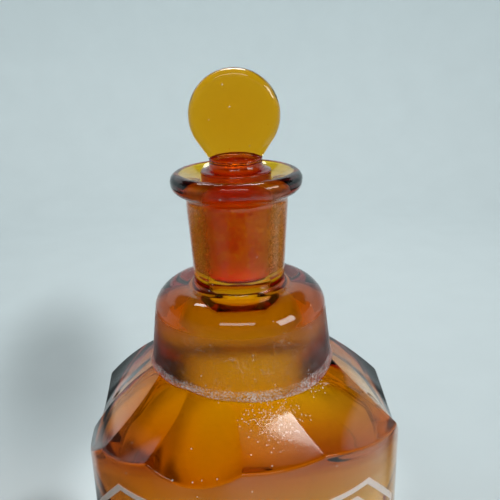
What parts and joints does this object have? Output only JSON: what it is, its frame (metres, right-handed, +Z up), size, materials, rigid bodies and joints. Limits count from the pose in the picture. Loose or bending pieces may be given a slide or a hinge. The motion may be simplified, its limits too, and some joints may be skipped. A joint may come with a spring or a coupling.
{
  "type": "stoppered reagent bottle",
  "caption": "Round amber glass bottle with a cut shoulder, drum-shaped turret, ground neck, flanged lip, lift-out ground stopper and a blank enamel label.",
  "frame": {"origin": "centre of the standing ring, on the bottle's axis", "axes": "+Z up the bottle's axis to the stopper, -Y out of the front through the middle of the label"},
  "size_m": [0.1, 0.1001, 0.2356],
  "materials": {
    "amber_glass": "gloss",
    "stopper_glass": "gloss",
    "label_enamel": "satin"
  },
  "bodies": {
    "bottle": {"bottle": "amber_glass", "label_border": "label_enamel", "label_panel": "label_enamel"},
    "stopper": {"stopper": "stopper_glass"}
  },
  "joints": [
    {"name": "stopper_lift", "type": "slide", "parent": "bottle", "child": "stopper", "axis": [0, 0, 1], "range_m": [0, 0.06]}
  ]
}
